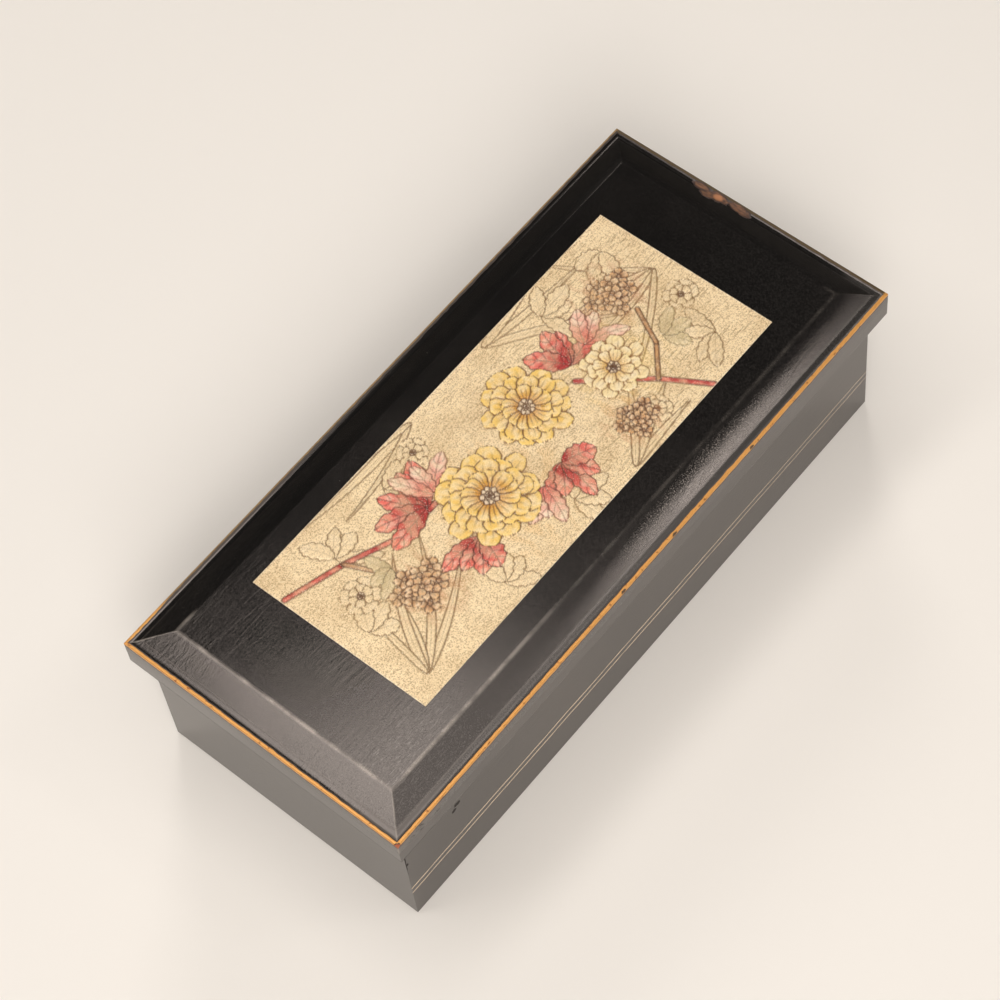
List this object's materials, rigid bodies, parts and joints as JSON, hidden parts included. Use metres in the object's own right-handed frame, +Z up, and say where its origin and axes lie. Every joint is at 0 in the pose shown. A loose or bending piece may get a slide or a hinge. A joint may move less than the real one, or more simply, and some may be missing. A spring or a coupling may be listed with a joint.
{
  "type": "musical jewelry box",
  "caption": "Lacquered musical jewelry box with a hinged, moulded lid, picture panel, mirror, velvet ring tray and a wind-up comb movement under a clear cover.",
  "frame": {"origin": "on the table, under the middle of the box", "axes": "+X along the long side towards the movement's end, +Y towards the hinges, +Z up; the front with the painted lines faces -Y"},
  "size_m": [0.19, 0.087, 0.0538],
  "materials": {
    "lacquer": "black lacquer on wood, satin gloss, with a gold line on the lid's rim",
    "black_board": "thinly stained board",
    "panel_foil": "speckled, embossed and tinted metal foil",
    "mirror": "silvered glass",
    "velvet": "short pile velvet over card and foam",
    "brass": "plain turned and pressed brass",
    "steel": "ground steel",
    "zinc": "plain zinc casting",
    "clear_cover": "clear acrylic sheet",
    "nylon": "moulded nylon"
  },
  "bodies": {
    "case": {"case_front_wall": "lacquer", "case_back_wall": "lacquer", "case_left_wall": "lacquer", "case_right_wall": "lacquer", "base_board": "black_board", "left_hinge_case_leaf": "brass", "left_hinge_case_screw_1": "brass", "left_hinge_case_screw_2": "brass", "left_hinge_pin": "brass", "right_hinge_case_leaf": "brass", "right_hinge_case_screw_1": "brass", "right_hinge_case_screw_2": "brass", "right_hinge_pin": "brass", "lining_front": "velvet", "lining_back": "velvet", "lining_left": "velvet", "divider": "velvet", "ring_roll_1": "velvet", "ring_roll_2": "velvet", "ring_roll_3": "velvet", "floor_pad": "velvet", "movement_bedplate": "zinc", "movement_screw_1": "steel", "movement_screw_2": "steel", "movement_screw_3": "steel", "comb": "steel", "comb_screw_1": "steel", "comb_screw_2": "steel", "governor_bracket": "steel", "stop_lever_pin": "steel", "cover_ledge": "black_board", "movement_cover": "clear_cover"},
    "lid": {"lid_board": "lacquer", "lid_front_rail": "lacquer", "lid_back_rail": "lacquer", "lid_left_rail": "lacquer", "lid_right_rail": "lacquer", "picture_panel": "panel_foil", "lid_mirror": "mirror", "mirror_frame": "velvet", "left_hinge_lid_leaf": "brass", "left_hinge_lid_screw_1": "brass", "left_hinge_lid_screw_2": "brass", "right_hinge_lid_leaf": "brass", "right_hinge_lid_screw_1": "brass", "right_hinge_lid_screw_2": "brass"},
    "winding_key": {"winding_key": "brass", "winding_arbor": "steel"},
    "spring_barrel": {"spring_barrel": "steel", "mainspring": "steel", "crown_wheel": "brass"},
    "cylinder": {"cylinder": "brass", "cylinder_arbor": "steel", "cylinder_pinion": "nylon", "cylinder_gear": "brass"},
    "governor_wheel": {"governor_wheel": "brass"},
    "governor_fan": {"governor_worm": "steel", "governor_fan": "zinc"},
    "stop_lever": {"stop_lever": "steel"}
  },
  "joints": [
    {"name": "lid_hinge", "type": "hinge", "parent": "case", "child": "lid", "pos_m": [0, 0.0406, 0.04113], "axis": [-1, 0, 0], "range_deg": [0, 95]},
    {"name": "winding_key_turn", "type": "hinge", "parent": "case", "child": "winding_key", "pos_m": [0.066, 0.01818, 0.005], "axis": [0, 0, 1], "continuous": true},
    {"name": "spring_barrel_turn", "type": "hinge", "parent": "case", "child": "spring_barrel", "pos_m": [0.066, 0.01818, 0.0192], "axis": [0, 0, 1], "continuous": true},
    {"name": "cylinder_turn", "type": "hinge", "parent": "case", "child": "cylinder", "pos_m": [0.066, -0.007, 0.02732], "axis": [0, 1, 0], "continuous": true},
    {"name": "governor_wheel_turn", "type": "hinge", "parent": "case", "child": "governor_wheel", "pos_m": [0.07286, -0.02498, 0.02337], "axis": [0, 1, 0], "continuous": true},
    {"name": "governor_fan_turn", "type": "hinge", "parent": "case", "child": "governor_fan", "pos_m": [0.07906, -0.02498, 0.0305], "axis": [0, 0, 1], "continuous": true},
    {"name": "stop_lever_tilt", "type": "hinge", "parent": "case", "child": "stop_lever", "pos_m": [0.07906, -0.00498, 0.03125], "axis": [-1, 0, 0], "range_deg": [0, 9.5]}
  ],
  "couplings": [
    {"joint": "cylinder_turn", "follows": "spring_barrel_turn", "ratio": -4},
    {"joint": "governor_wheel_turn", "follows": "spring_barrel_turn", "ratio": 18},
    {"joint": "governor_fan_turn", "follows": "spring_barrel_turn", "ratio": 504},
    {"joint": "stop_lever_tilt", "follows": "lid_hinge", "ratio": 0.1}
  ]
}
